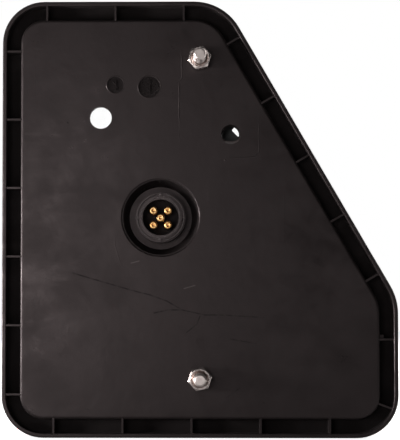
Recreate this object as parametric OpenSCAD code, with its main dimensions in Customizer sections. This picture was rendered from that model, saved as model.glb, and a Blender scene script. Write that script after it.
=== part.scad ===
// Rear combination lamp for a trailer, seen from its back in the photograph.
// A black moulded housing carries two fixing studs and a five-pin bayonet socket at the
// back, and a three-coloured lens with a triangle reflector at the front.
// Every module is drawn with the back face in the XY plane: +z points out of the back,
// -z into the lamp. upright() then stands the lamp up, so that +Z is up and the back
// faces -Y.

/* [Outline] */
// Overall width of the housing
body_w = 188; // [176:1:200]
// Overall height of the housing
body_h = 208; // [198:1:220]
// Length of the top edge, up to the point where it would meet the slanted edge
top_w = 105.8; // [100:0.1:114]
// Height of the slanted edge, between the points where it would meet its neighbours
slant_h = 142.1; // [134:0.1:150]
// Radius of the three square corners
corner_r = 20; // [18:0.5:24]
// Radius of the corner at the top of the slanted edge
crest_r = 25; // [20:0.5:30]
// Radius of the corner at the foot of the slanted edge
shoulder_r = 26; // [20:0.5:32]

/* [Housing] */
// Thickness of the back plate
plate_t = 2.5; // [2:0.1:3]
// Thickness of the rim that runs round the edge
rim_t = 2.1; // [1.8:0.1:2.6]
// Depth of the rim, from the back plane to its front end
rim_depth = 16; // [14:0.5:20]
// Rounding of the outer edge of the rim
rim_r = 0.8; // [0.4:0.1:1]
// Rounding of the inner edge of the rim
rim_inner_r = 0.4; // [0.2:0.1:0.6]
// Width of the open groove between the rim and the raised back plate
groove_w = 6.6; // [6:0.1:7.4]
// Depth of the groove
groove_depth = 7; // [5:0.5:8]
// Thickness of the groove's floor
floor_t = 2.2; // [1.8:0.1:2.6]
// Thickness of the wall between the groove and the lamp's inside
step_wall_t = 2.2; // [1.8:0.1:2.6]
// Rounding of the back plate's edge
plate_r = 1.5; // [0.8:0.1:2]
// Height of the small upstand that holds the seal in place
seal_rib_h = 2.4; // [2:0.1:3]
// Thickness of that upstand
seal_rib_t = 1.2; // [1:0.1:1.5]

/* [Groove ribs] */
// Thickness of a rib across the groove
rib_t = 0.9; // [0.7:0.1:1.4]
// Distance between neighbouring ribs
rib_pitch = 32.7; // [31:0.1:33]
// How far the ribs stay below the back plane
rib_drop = 0.3; // [0.1:0.1:0.8]
// Direction of the rib in the lower corner beside the slanted edge
corner_rib_deg = -20; // [-70:5:-15]

/* [Studs and nuts] */
// Distance between the two studs
stud_pitch = 152; // [140:1:156]
// Radius of a stud's thread
stud_r = 3; // [2.5:0.5:4]
// Radius of the thread's core, which is drawn where the nut sits
stud_core_r = 2.4; // [2:0.1:2.45]
// How far a stud stands out of the back plate
stud_out = 16; // [12:0.5:20]
// Chamfer of a stud's tip
stud_chamfer = 0.55; // [0.3:0.05:0.8]
// Side of a stud's square neck
stud_neck = 6.4; // [6:0.1:8]
// Radius of a stud's head
stud_head_r = 6.5; // [6:0.5:7.5]
// Thickness of a stud's head
stud_head_t = 2.4; // [2:0.1:3]
// Width of a nut across its flats
nut_af = 10; // [9:0.5:11]
// Height of a nut
nut_h = 5; // [4:0.5:6]
// Gap between a nut that is spun on loosely and the back plate
nut_gap = 1.2; // [0.8:0.1:2]
// Turn of the nuts, as they are left on their threads
nut_turn = 13; // [0:1:59]

/* [Openings in the back plate] */
// Place of the view hole into the clear chamber, to the right of the centre
view_hole_x = -47; // [-52:0.5:-42]
// Its distance below the top edge
view_hole_down = 56; // [52:0.5:59]
// Its radius
view_hole_r = 5.2; // [4:0.1:6]
// Place of the vent hole, to the right of the centre
vent_x = 15; // [10:0.5:20]
// Its distance below the top edge
vent_down = 64; // [60:0.5:68]
// Its radius at the back face
vent_r = 4.7; // [4:0.1:5.5]
// Its radius at the foot of its tapered wall
vent_foot_r = 3.9; // [3:0.1:4]
// Depth of the mould marks
mark_depth = 0.3; // [0.2:0.05:0.5]
// Radius of the smaller mould mark
mark_small_r = 4; // [3:0.1:5]
// Radius of the larger mould mark
mark_large_r = 5.2; // [4:0.1:6]

/* [Connector] */
// Place of the connector, to the right of the centre
plug_x = -18.5; // [-22:0.5:-14]
// Its height above the centre
plug_y = 0.5; // [-4:0.5:4]
// Radius of the connector's well at the back face
well_r = 18.2; // [17.5:0.1:20]
// Radius of the well at its floor
well_floor_r = 15; // [14.6:0.1:16]
// Depth of the well
well_depth = 9; // [7:0.5:10]
// Thickness of the well's wall and floor
well_t = 2.2; // [1.8:0.1:2.6]
// Rounding of the well's edge
well_edge_r = 0.8; // [0.4:0.1:1.2]
// Outer radius of the socket's collar
collar_r = 11.9; // [11.5:0.1:12.4]
// Radius of the raised lip round the socket's mouth
collar_lip_r = 10.1; // [9.8:0.1:10.6]
// Inner radius of the socket
socket_r = 8.6; // [8.2:0.1:9]
// How far the lip stays below the back plane
lip_drop = 1; // [0.5:0.1:2]
// Height of the lip above the collar's shoulder
lip_h = 1.6; // [1:0.1:2.5]
// Thickness of the four small keys on the shoulder
key_t = 0.8; // [0.6:0.1:1.2]
// Radius of the flange that seats the socket inside the lamp
flange_r = 14.4; // [13.5:0.1:14.5]
// Thickness of that flange
flange_t = 2; // [1.5:0.1:2.5]
// Thickness of the rubber ring under the flange
plug_seal_t = 0.8; // [0.6:0.1:1.2]
// Thickness of the web that carries the pins
web_t = 3; // [2.5:0.1:4]
// Radius of a contact pin
pin_r = 2; // [1.6:0.1:2.2]
// Length of a contact pin above the web
pin_len = 7.5; // [5:0.5:9]
// Distance of the outer pins from the middle pin, across and up
pin_step = 3.5; // [3.4:0.1:3.8]
// Radius of a pin's tail
tail_r = 1; // [0.8:0.1:1.2]
// Length of a pin's tail in front of the web
tail_out = 4.4; // [4.1:0.1:6]

/* [Lens] */
// Depth of the lamp from the back plane to the face of the lens
lens_depth = 52; // [50:0.5:56]
// Thickness of the lens
lens_t = 2.8; // [2.4:0.1:3.2]
// Draft of the lens's sides, as the inset at its front
lens_draft = 1.3; // [0.6:0.1:2]
// Rounding of the lens's front edge
lens_edge_r = 5; // [4:0.5:7]
// Gap between the lens and the end of the rim
lens_gap = 0.3; // [0.2:0.1:0.6]
// Thickness of the seal
seal_t = 2; // [1.5:0.1:2.5]
// Width of the seal
seal_w = 3.2; // [2.8:0.1:3.4]
// Spacing of the flutes inside the lens
flute_pitch = 6; // [4:0.5:8]
// Height of the flutes
flute_h = 0.7; // [0.4:0.1:1]
// Height of the amber field, from the lamp's top edge to its seam
amber_h = 37; // [36.6:0.1:37]
// Height of the clear field below it
clear_h = 30; // [30:0.1:31]
// Radius of the wells that sink the lens screws
screw_well_r = 5; // [4.6:0.1:6]
// Wall of those wells
screw_well_t = 1.8; // [1.4:0.1:2.2]
// Depth of the seat of the lens screws, from the back plane
screw_seat = 38; // [34:0.5:40]
// Radius of the lens screws
screw_r = 2; // [1.5:0.1:2.5]
// Radius of their heads
screw_head_r = 3.8; // [3.4:0.1:4.2]
// Height of their heads
screw_head_h = 2.4; // [2:0.1:3]
// Length of the lens screws
screw_len = 16; // [12:0.5:20]
// Radius of the posts that take the lens screws
post_r = 4.2; // [3.8:0.1:5]

/* [Triangle reflector] */
// Side of the triangle, to its sharp corners
triangle_side = 152; // [150:1:156]
// Width of its band
triangle_band = 19; // [16:0.5:24]
// Thickness of the reflector
triangle_t = 2.5; // [2:0.1:4]
// Rounding of its corners
triangle_r = 4; // [2:0.5:6]
// Height of its lower side above the lamp's lower edge
triangle_lift = 12; // [10:0.5:14]
// Place of its middle, to the right of the centre
triangle_x = 5; // [2:0.5:7]

/* [Inside] */
// Depth of the carrier plate's back face
carrier_depth = 12.5; // [12.4:0.1:13]
// Thickness of the carrier plate
carrier_t = 1.5; // [1.2:0.1:2]
// Thickness of the walls between the chambers
wall_t = 1.6; // [1.2:0.1:2]
// Gap between the walls and the flutes of the lens
wall_gap = 0.4; // [0.3:0.1:1]
// Depth of the bulbs' axes
bulb_depth = 30; // [29.5:0.1:31]
// Radius of a bulb's glass
bulb_r = 13.2; // [12:0.1:13.3]
// Length of a bulb
bulb_len = 52; // [48:0.5:53]
// Radius of a bulb's cap
cap_r = 7.5; // [7:0.1:7.8]
// Length of a bulb's cap
cap_len = 16; // [14:0.5:18]
// Thickness of the sheet that the bulb holders are bent from
holder_t = 0.7; // [0.5:0.1:0.9]
// Length of a bulb holder's sleeve
sleeve_len = 12; // [10:0.5:13]
// Thickness of the contact strips
strip_t = 0.8; // [0.6:0.1:1]
// Width of the contact strips
strip_w = 3; // [2.4:0.1:3.2]
// Height of the earth strip above the other strips
earth_lift = 2; // [1.6:0.1:2.2]
// Length of the carrier's screws
carrier_screw_len = 8; // [6:0.5:9]
// Radius of the carrier's screws
carrier_screw_r = 1.5; // [1.2:0.1:1.8]
// Radius of their heads
carrier_head_r = 3; // [2.6:0.1:3.4]
// Height of their heads
carrier_head_h = 1.8; // [1.4:0.1:2]

/* [Fits] */
// Clearance round a part that drops into a hole
fit = 0.05; // [0.02:0.01:0.1]
// Clearance round a part that stands free in an opening
free = 0.4; // [0.3:0.1:0.6]

/* [Hidden] */
$fn = 64;

// Corners of the outline, anticlockwise from the lower left
crest_x = top_w - body_w / 2;
shoulder_y = body_h / 2 - slant_h;
body_pts = [
    [-body_w / 2, -body_h / 2],
    [body_w / 2, -body_h / 2],
    [body_w / 2, shoulder_y],
    [crest_x, body_h / 2],
    [-body_w / 2, body_h / 2]
];
body_radii = [corner_r, corner_r, shoulder_r, crest_r, corner_r];

// How far a piece runs into another that it is one with, and a cut past a face
overlap = 1;

// Distances in from the outer face of the rim: the back plate's edge, the inner end of
// the swept edge, which stays this far from the centres of the corners, and the plate
// inside it
plate_start = rim_t + groove_w;
sweep_margin = 5;
strip_end = corner_r - sweep_margin;
plate_inset = strip_end - overlap;

// A swept edge is made of sides and corners: each side runs this far into its corners,
// and the corners lie this much lower, so that the pieces join without a coincident face
corner_lap = 0.1;
corner_step = 0.005;

// Depths below the back plane
floor_front = groove_depth + floor_t;
seal_front = floor_front + seal_t;
carrier_front = carrier_depth + carrier_t;
lens_inner = lens_depth - lens_t;
web_front = carrier_front;
web_back = web_front - web_t;
flange_back = web_front - flange_t;
earth_back = carrier_front + earth_lift;

// Seams of the lens, above the centre
field_high = body_h / 2 - amber_h;
field_low = field_high - clear_h;

// Distance of the first rib from the corner where each side begins, and how close the
// last one may come to the next corner
rib_first = [24.7, 46.5, 14.7, 19.2, 24];
rib_end = 18;

// Pins, in the order of their nodes: middle, then the four round it
pin_places = [
    [0, 0],
    [-pin_step, pin_step],
    [pin_step, pin_step],
    [-pin_step, -pin_step],
    [pin_step, -pin_step]
];

// Flutes stay this far inside the edge of the lens, away from the seams and from the
// screw wells, and leave out a strip across the red field at this height below the centre
flute_edge = plate_start + 4;
seam_edge = 2;
well_clear = screw_well_r + screw_well_t + 1;
flute_split = 44;

// Mould marks: how far right of the centre and below the top edge the smaller and the
// larger one lie, and the width of the bar across each
mark_offsets = [[-40, 40.2], [-23.8, 41.2]];
mark_bar = 0.8;

// Openings in the back plate
view_hole_place = below_top([view_hole_x, view_hole_down]);
vent_place = below_top([vent_x, vent_down]);

// Depth of the seat of the studs' heads, and the boss round it with its ribs
stud_seat = 6;
boss_wall = 2;
boss_rib_t = 1.6;
boss_rib_len = 8;

// Ribs at the foot of a post for a lens screw: their reach and how far they stand out of
// the housing's floor
post_rib_len = 3;
post_rib_h = 4;

// Inset of the carrier plate, which slips inside the wall behind the groove
carrier_edge = plate_start + step_wall_t - 1;

// Slot in the carrier plate that is seen through the vent hole, at its upper right
slot_offset = [3.5, 2.8];
slot_size = [4.8, 2.9];
slot_r = 0.8;

// The part of the carrier that is cut away in front of the view hole
view_gap_offset = [-0.7, 1.7];
view_gap_r = view_hole_r + 0.6;

// Bulb lugs: their radius, how far they stand out of the sleeve, and their distance from
// the tip of the cap
lug_r = 1;
lug_out = 0.3;
lug_x = 9;

// A bulb's base contacts: radius, height and length, and their distance from the middle
// where there are two
contact_r = 1.6;
contact_h = 1.5;
contact_len = 3;
contact_step = 3.5;

// Width of the glass where it meets the cap and the ball, against those
glass_neck = cap_r - 0.5;
glass_shoulder = 0.86 * bulb_r;

// Bulb holders: where the sleeve starts, the width and length of the foot, and the pad
// under it, which starts this far out of the holder's bend and ends short of the foot
sleeve_x = 2;
foot_w = 8;
foot_len = 6;
foot_x = sleeve_x + (sleeve_len - foot_w) / 2;
pad_start = 1;
pad_short = 1.5;
pad_sink = 0.5;

// Line of the earth strip's trunk, and where it meets a foot
trunk_x = -2.5;
foot_reach = 11;

// Bends of the other strips: below a seam, or above the tail bulb's axis, and how far the
// stop strip passes that bulb's tip. Their tongues end this far behind the bulbs' axes.
indicator_bend = 5;
reverse_bend = 7;
stop_bend = 22;
tail_bend = 16;
stop_pass = 8;
tongue_past = 2;

// A pin's tail ends this far past its strip
tail_past = 0.4;

// Rounding and centre hole of a pin's tip
tip_r = 0.45 * pin_r;
tip_hole_r = 0.5;
tip_hole_depth = 1;

// Socket: start of the keys outside the mouth, and the small holes beside two of them
key_start = socket_r + 0.6;
key_hole_r = 0.45;
key_hole_out = 0.7;
key_hole_side = 1.1;
key_hole_depth = 1.2;

// Lens screws, one in the amber field and three in the red one. Their offsets are from
// the left and top edges, the slanted edge and the red seam, the left and lower edges,
// and the right edge and the foot of the slanted edge.
lens_screw_offsets = [[18, 24], [19, 25], [17, 38], [14, 18]];
amber_screws = [[lens_screw_offsets[0][0] - body_w / 2, body_h / 2 - lens_screw_offsets[0][1]]];
red_screws = [
    beside_slant(lens_screw_offsets[1]),
    [lens_screw_offsets[2][0] - body_w / 2, lens_screw_offsets[2][1] - body_h / 2],
    [body_w / 2 - lens_screw_offsets[3][0], shoulder_y - lens_screw_offsets[3][1]]
];
lens_screw_places = concat(amber_screws, red_screws);

// Screws that hold the carrier plate, and the radius of the bosses that take them. Their
// offsets are from the left edge and the centre, the left and lower edges, the right and
// lower edges, and the slanted edge and the red seam.
carrier_screw_offsets = [[18, 2], [34, 44], [42, 30], [29, 11]];
carrier_screw_places = [
    [carrier_screw_offsets[0][0] - body_w / 2, carrier_screw_offsets[0][1]],
    [carrier_screw_offsets[1][0] - body_w / 2, carrier_screw_offsets[1][1] - body_h / 2],
    [body_w / 2 - carrier_screw_offsets[2][0], carrier_screw_offsets[2][1] - body_h / 2],
    beside_slant(carrier_screw_offsets[3])
];
boss_r = 3.5;

// Bulbs: how far right of the centre the tip of each cap lies, and how far the indicator
// bulb lies below the top edge and the tail bulb above the lower one
reverse_tip = 12.5;
indicator_tip = -6;
tail_tip = -26;
indicator_down = 22;
tail_up = 54;

// Each bulb: the place of the tip of its cap, which way the glass points along x, and the
// side of the bulb where the foot of its holder stands
reverse_bulb = [reverse_tip, (field_low + field_high) / 2, -1, -1];
indicator_bulb = [indicator_tip, body_h / 2 - indicator_down, -1, -1];
tail_bulb = [tail_tip, tail_up - body_h / 2, 1, 1];

plug = [plug_x, plug_y];
studs = [[0, stud_pitch / 2], [0, -stud_pitch / 2]];

function next(p, i) = (i + 1) % len(p);
function prev(p, i) = (i + len(p) - 1) % len(p);
function unit(a) = [cos(a), sin(a)];
function heading(p, i) = let (d = p[next(p, i)] - p[i]) atan2(d[1], d[0]);
function turn(p, i) = (heading(p, i) - heading(p, prev(p, i)) + 360) % 360;
function setback(p, i, r) = r * tan(turn(p, i) / 2);
function side(p, i) = norm(p[next(p, i)] - p[i]);

// The slanted edge at height y, and how far right the flutes may reach beside it
function slant_x(y) = crest_x + (body_h / 2 - y) * (body_w - top_w) / slant_h;
function flute_right(y) = slant_x(y) - flute_edge * norm([body_w - top_w, slant_h]) / slant_h;

// Places given from the top edge, and from the slanted edge and the red seam
function below_top(offset) = [offset[0], body_h / 2 - offset[1]];
function beside_slant(offset) =
    [slant_x(field_low - offset[1]) - offset[0], field_low - offset[1]];

// Points along an arc
function arc(centre, r, from, to, steps) =
    [for (k = [0:steps]) centre + r * unit(from + (to - from) * k / steps)];
// Corner i of the outline, moved in by d
function inner_corner(p, i, d) =
    p[i] + d / cos(turn(p, i) / 2) * unit(heading(p, prev(p, i)) + 90 + turn(p, i) / 2);

module upright() {
    rotate([90, 0, 0]) children();
}

module at(place) {
    translate([place[0], place[1], 0]) children();
}

// A disc or plate that reaches from one depth to another
module slab(back, front) {
    translate([0, 0, -front]) linear_extrude(front - back) children();
}

// The section child, carried round a rounded outline. In the section, x is the distance
// in from the outline and y the height.
module edge_sweep(p, radii) {
    for (i = [0:len(p) - 1]) {
        n = next(p, i);
        run = side(p, i) - setback(p, i, radii[i]) - setback(p, n, radii[n]) + 2 * corner_lap;
        at(p[i] + (setback(p, i, radii[i]) - corner_lap) * unit(heading(p, i)))
            rotate([0, 0, heading(p, i)])
                rotate([90, 0, 90])
                    linear_extrude(run) children();
        at(inner_corner(p, i, radii[i]))
            rotate([0, 0, heading(p, prev(p, i)) - 90])
                rotate_extrude(angle = turn(p, i))
                    translate([radii[i] - corner_step, 0]) mirror([1, 0]) children();
    }
}

// A rounded outline, moved in by d
module rounded_outline(p, radii, d) {
    tangents = [
        for (i = [0:len(p) - 1])
            for (s = [-1, 1])
                inner_corner(p, i, radii[i])
                    + (radii[i] - d) * unit(heading(p, s < 0 ? prev(p, i) : i) - 90)
    ];
    polygon(tangents);
    for (i = [0:len(p) - 1])
        translate(inner_corner(p, i, radii[i])) circle(radii[i] - d);
}

// The sharp-cornered field that fills the middle of a swept edge
module middle(d) {
    polygon([for (i = [0:len(body_pts) - 1]) inner_corner(body_pts, i, d)]);
}

// What rounding takes off a corner at the origin, with the body right of it and below
module corner_cut(r) {
    difference() {
        translate([-1, -r]) square([r + 1, r + 1]);
        translate([r, -r]) circle(r);
    }
}

// The edge of the housing, cut across
module housing_section() {
    step_end = plate_start + step_wall_t;
    seal_rib_x = rim_t + seal_w + 2 * free;
    seal_rib_end = seal_rib_x + seal_rib_t;
    seal_rib_y = -floor_front - seal_rib_h;
    polygon(concat(
        [
            [0, -rim_depth],
            [rim_t, -rim_depth],
            [rim_t, -floor_front],
            [seal_rib_x, -floor_front],
            [seal_rib_x, seal_rib_y],
            [seal_rib_end, seal_rib_y],
            [seal_rib_end, -floor_front],
            [step_end, -floor_front],
            [step_end, -plate_t],
            [strip_end, -plate_t],
            [strip_end, 0]
        ],
        arc([plate_start + plate_r, -plate_r], plate_r, 90, 180, 6),
        [
            [plate_start, -groove_depth],
            [rim_t, -groove_depth]
        ],
        arc([rim_t - rim_inner_r, -rim_inner_r], rim_inner_r, 0, 90, 3),
        arc([rim_r, -rim_r], rim_r, 90, 180, 4)
    ));
}

// A rib across the groove, from the rim to the back plate
module groove_rib() {
    translate([-rib_t / 2, rim_t / 2, -floor_front + floor_t / 2])
        cube([rib_t, groove_w + rim_t / 2 + plate_r, floor_front - floor_t / 2 - rib_drop]);
}

module groove_ribs() {
    p = body_pts;
    for (i = [0:len(p) - 1])
        for (run = [rib_first[i]:rib_pitch:side(p, i) - rib_end])
            at(p[i] + run * unit(heading(p, i))) rotate([0, 0, heading(p, i)]) groove_rib();
    at(inner_corner(p, 1, corner_r))
        rotate([0, 0, corner_rib_deg + 90])
            translate([0, -corner_r, 0]) groove_rib();
}

// The wall and floor of the connector's well
module plug_well() {
    rotate_extrude() {
        difference() {
            polygon([
                [collar_r + fit, -well_depth],
                [well_floor_r, -well_depth],
                [well_r, 0],
                [well_r + well_t, 0],
                [well_r + well_t, -plate_t],
                [well_floor_r + well_t, -well_depth - well_t],
                [collar_r + fit, -well_depth - well_t]
            ]);
            translate([well_r, 0]) corner_cut(well_edge_r);
        }
    }
}

module stud_boss() {
    slab(plate_t - overlap, stud_seat) circle(stud_head_r + boss_wall);
    for (a = [45:90:315])
        rotate([0, 0, a]) translate([stud_head_r, -boss_rib_t / 2, -stud_seat])
            cube([boss_rib_len, boss_rib_t, stud_seat - plate_t + overlap]);
}

module stud_hole() {
    slab(-overlap, stud_seat + overlap) square(stud_neck + 2 * fit, center = true);
}

module lens_post() {
    slab(plate_t - overlap, screw_seat) circle(post_r);
    for (a = [0, 90])
        rotate([0, 0, a]) slab(plate_t - overlap, floor_front + post_rib_h)
            square([2 * (post_r + post_rib_len), boss_rib_t], center = true);
}

module carrier_boss() {
    slab(plate_t - overlap, carrier_depth) circle(boss_r);
}

module rear_housing() {
    color([0.12, 0.11, 0.11]) upright() difference() {
        union() {
            edge_sweep(body_pts, body_radii) housing_section();
            difference() {
                slab(0, plate_t) middle(plate_inset);
                at(plug) slab(-overlap, plate_t + overlap) circle(well_r + well_t / 2);
            }
            at(plug) plug_well();
            groove_ribs();
            for (s = studs) at(s) stud_boss();
            for (s = lens_screw_places) at(s) lens_post();
            for (s = carrier_screw_places) at(s) carrier_boss();
        }
        for (s = studs) at(s) stud_hole();
        for (s = lens_screw_places)
            at(s) slab(screw_seat - screw_len, screw_seat + overlap) circle(screw_r + fit);
        for (s = carrier_screw_places)
            at(s) slab(carrier_depth - carrier_screw_len, carrier_depth + overlap)
                circle(carrier_screw_r + fit);
        at(view_hole_place) slab(-overlap, plate_t + overlap) circle(view_hole_r);
        at(vent_place) vent_cut();
        at(below_top(mark_offsets[0])) mould_mark(mark_small_r);
        at(below_top(mark_offsets[1])) mould_mark(mark_large_r);
    }
}

// The vent's tapered hole
module vent_cut() {
    translate([0, 0, -plate_t]) cylinder(plate_t, vent_foot_r, vent_r);
    slab(-overlap, 0) circle(vent_r);
    slab(plate_t, plate_t + overlap) circle(vent_foot_r);
}

// A round mould mark with a raised bar across it
module mould_mark(r) {
    slab(-overlap, mark_depth) difference() {
        circle(r);
        square([mark_bar, 1.3 * r], center = true);
    }
}

// The edge of the lens, cut across
module lens_section() {
    skirt = rim_t + free;
    ledge = skirt + lens_t;
    draft_x = lens_gap + lens_draft;
    bend = [draft_x + lens_edge_r, lens_edge_r - lens_depth];
    polygon(concat(
        [
            [skirt, -seal_front],
            [ledge, -seal_front],
            [ledge, -rim_depth - lens_t],
            [lens_gap + lens_t, -rim_depth - 2 * lens_t]
        ],
        arc(bend, lens_edge_r - lens_t, 180, 270, 6),
        [
            [strip_end, -lens_inner],
            [strip_end, -lens_depth]
        ],
        arc(bend, lens_edge_r, 270, 180, 8),
        [
            [lens_gap, -rim_depth - lens_gap],
            [skirt, -rim_depth - lens_gap]
        ]
    ));
}

// One flute, a low rounded ridge on the inside of the lens
module flute(run) {
    chord_r = (pow(flute_pitch / 2, 2) + flute_h * flute_h) / (2 * flute_h);
    rotate([-90, 0, 0]) linear_extrude(run) translate([0, -flute_h]) intersection() {
        translate([0, chord_r]) circle(chord_r, $fn = 96);
        translate([-flute_pitch / 2, 0]) square([flute_pitch, flute_h + 0.2]);
    }
}

// Flutes that fill the field between two corners
module flutes(low, high) {
    count = floor((high[0] - low[0]) / flute_pitch);
    start = (low[0] + high[0] - count * flute_pitch) / 2;
    for (k = [0:count - 1])
        translate([start + (k + 0.5) * flute_pitch, low[1], -lens_inner]) flute(high[1] - low[1]);
}

module screw_well() {
    slab(screw_seat, lens_inner + overlap) circle(screw_well_r + screw_well_t);
}

module screw_well_cut() {
    slab(screw_seat + lens_t, lens_depth + overlap) circle(screw_well_r);
    slab(screw_seat - overlap, lens_depth) circle(screw_r + free);
}

// The whole lens, before it is divided into its coloured shots
module lens_shell(screws) {
    difference() {
        union() {
            edge_sweep(body_pts, body_radii) lens_section();
            slab(lens_inner, lens_depth) middle(plate_inset);
            for (s = screws) at(s) screw_well();
        }
        for (s = screws) at(s) screw_well_cut();
    }
}

module amber_zone() {
    slab(0, lens_depth + overlap)
        translate([-body_w, field_high]) square([2 * body_w, body_h]);
}

module clear_zone() {
    slab(0, lens_depth + overlap)
        translate([-body_w, field_low]) square([2 * body_w, field_high - field_low]);
}

module lens_amber() {
    color([0.95, 0.5, 0.05]) upright() {
        intersection() {
            lens_shell(amber_screws);
            amber_zone();
        }
        flutes(
            [amber_screws[0][0] + well_clear, field_high + seam_edge],
            [crest_x, body_h / 2 - flute_edge]
        );
    }
}

module lens_clear() {
    color([0.9, 0.92, 0.92]) upright() {
        intersection() {
            lens_shell([]);
            clear_zone();
        }
        flutes(
            [-body_w / 2 + flute_edge, field_low + seam_edge],
            [flute_right(field_high - seam_edge), field_high - seam_edge]
        );
    }
}

module lens_red() {
    color([0.75, 0.05, 0.05]) upright() {
        difference() {
            lens_shell(red_screws);
            amber_zone();
            clear_zone();
        }
        flutes(
            [-body_w / 2 + flute_edge, -flute_split],
            [flute_right(field_low - seam_edge), field_low - seam_edge]
        );
        flutes(
            [red_screws[1][0] + well_clear, flute_edge - body_h / 2],
            [red_screws[2][0] - well_clear, -flute_split - seam_edge]
        );
    }
}

// The triangle, with its sides parallel to the base and the slanted edge
triangle_low = triangle_lift - body_h / 2;
triangle_pts = [
    [triangle_x - triangle_side / 2, triangle_low],
    [triangle_x + triangle_side / 2, triangle_low],
    [triangle_x, triangle_low + triangle_side * sin(60)]
];
triangle_radii = [triangle_r, triangle_r, triangle_r];

module triangle_window() {
    polygon([for (i = [0:2]) inner_corner(triangle_pts, i, triangle_band)]);
}

module triangle_reflector() {
    color([0.6, 0.02, 0.03]) upright() difference() {
        slab(lens_depth, lens_depth + triangle_t)
            rounded_outline(triangle_pts, triangle_radii, 0);
        slab(lens_depth - overlap, lens_depth + triangle_t + overlap) triangle_window();
    }
}

module lens_seal() {
    color([0.2, 0.2, 0.2]) upright() edge_sweep(body_pts, body_radii)
        translate([rim_t + free, -seal_front]) square([seal_w, seal_t]);
}

// A pan-head screw with a cross recess, its head at depth seat. The head narrows to three
// quarters over its last 0.4, and the recess is as deep as that and half as much again.
module screw(seat, shank_r, shank_len, head_r, head_h) {
    difference() {
        union() {
            slab(seat - shank_len, seat) circle(shank_r);
            slab(seat, seat + head_h * 0.6) circle(head_r);
            translate([0, 0, -seat - head_h]) cylinder(head_h * 0.4, head_r * 0.75, head_r);
        }
        for (a = [0, 90])
            rotate([0, 0, a]) slab(seat + head_h * 0.4, seat + head_h + overlap)
                square([head_r * 1.1, head_r * 0.24], center = true);
    }
}

module lens_screws() {
    color([0.7, 0.7, 0.7]) upright() for (s = lens_screw_places)
        at(s) screw(screw_seat + lens_t, screw_r, screw_len, screw_head_r, screw_head_h);
}

module carrier_screws() {
    color([0.7, 0.7, 0.7]) upright() for (s = carrier_screw_places)
        at(s) screw(carrier_front, carrier_screw_r, carrier_screw_len, carrier_head_r,
            carrier_head_h);
}

// The black carrier plate with the walls between the chambers
module bulb_carrier() {
    wall_top = lens_inner - flute_h - wall_gap;
    color([0.13, 0.12, 0.12]) upright() difference() {
        union() {
            slab(carrier_depth, carrier_front) rounded_outline(body_pts, body_radii, carrier_edge);
            slab(carrier_depth, wall_top) intersection() {
                union() {
                    for (y = [field_low, field_high])
                        translate([-body_w, y - wall_t / 2]) square([2 * body_w, wall_t]);
                }
                rounded_outline(body_pts, body_radii, carrier_edge);
            }
            for (b = [reverse_bulb, indicator_bulb, tail_bulb]) at_bulb(b) holder_pad();
        }
        at(plug) slab(carrier_depth - overlap, earth_back + strip_t + overlap)
            circle(flange_r + free);
        for (s = lens_screw_places) at(s) {
            slab(carrier_depth - overlap, carrier_front + overlap)
                square(2 * (post_r + post_rib_len + free), center = true);
            slab(carrier_depth, screw_seat) circle(post_r + free);
            slab(screw_seat - overlap, lens_depth) circle(screw_well_r + screw_well_t + free);
        }
        for (s = carrier_screw_places)
            at(s) slab(carrier_depth - overlap, carrier_front + overlap)
                circle(carrier_screw_r + fit);
        at(view_hole_place + view_gap_offset)
            slab(carrier_depth - overlap, carrier_front + overlap) circle(view_gap_r);
        at(vent_place + slot_offset) rotate([0, 0, -45])
            slab(carrier_depth - overlap, carrier_front + overlap) vent_slot();
        strip_windows();
    }
}

// The round-cornered slot that faces the vent hole
module vent_slot() {
    flat = slot_size - 2 * [slot_r, slot_r];
    square([slot_size[0], flat[1]], center = true);
    square([flat[0], slot_size[1]], center = true);
    for (x = [-1, 1])
        for (y = [-1, 1]) translate([x * flat[0] / 2, y * flat[1] / 2]) circle(slot_r);
}

// Gaps under the chamber walls where the strips pass
module strip_windows() {
    gap = strip_t + free;
    for (s = [reverse_route, indicator_route, stop_route, tail_route])
        slab(carrier_front, carrier_front + gap) route(s, strip_w + 2 * free);
    slab(carrier_front + earth_lift - free, carrier_front + earth_lift + strip_t + free)
        earth_shape(strip_w + 2 * free);
}

// Places that the strips run through, from their pin to their bulb
indicator_route = [
    plug + pin_places[1],
    [plug[0] - pin_step, field_high - indicator_bend],
    [indicator_bulb[0] + strip_w / 2, field_high - indicator_bend],
    [indicator_bulb[0] + strip_w / 2, indicator_bulb[1]]
];
reverse_route = [
    plug + pin_places[2],
    [plug[0] + pin_step, field_low - reverse_bend],
    [reverse_bulb[0] + strip_w / 2, field_low - reverse_bend],
    [reverse_bulb[0] + strip_w / 2, reverse_bulb[1]]
];
stop_route = [
    plug + pin_places[3],
    [plug[0] - pin_step, tail_bulb[1] + stop_bend],
    [tail_bulb[0] - stop_pass, tail_bulb[1] + stop_bend],
    [tail_bulb[0] - stop_pass, tail_bulb[1] - contact_step],
    [tail_bulb[0] - strip_w / 2, tail_bulb[1] - contact_step]
];
tail_route = [
    plug + pin_places[4],
    [plug[0] + pin_step, tail_bulb[1] + tail_bend],
    [tail_bulb[0] - strip_w / 2, tail_bulb[1] + tail_bend],
    [tail_bulb[0] - strip_w / 2, tail_bulb[1] + contact_step]
];

// A band of width w along a list of places
module route(places, w) {
    for (k = [0:len(places) - 2]) {
        a = places[k];
        b = places[k + 1];
        translate(a) rotate(atan2(b[1] - a[1], b[0] - a[0]))
            translate([-w / 2, -w / 2]) square([norm(b - a) + w, w]);
    }
}

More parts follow.
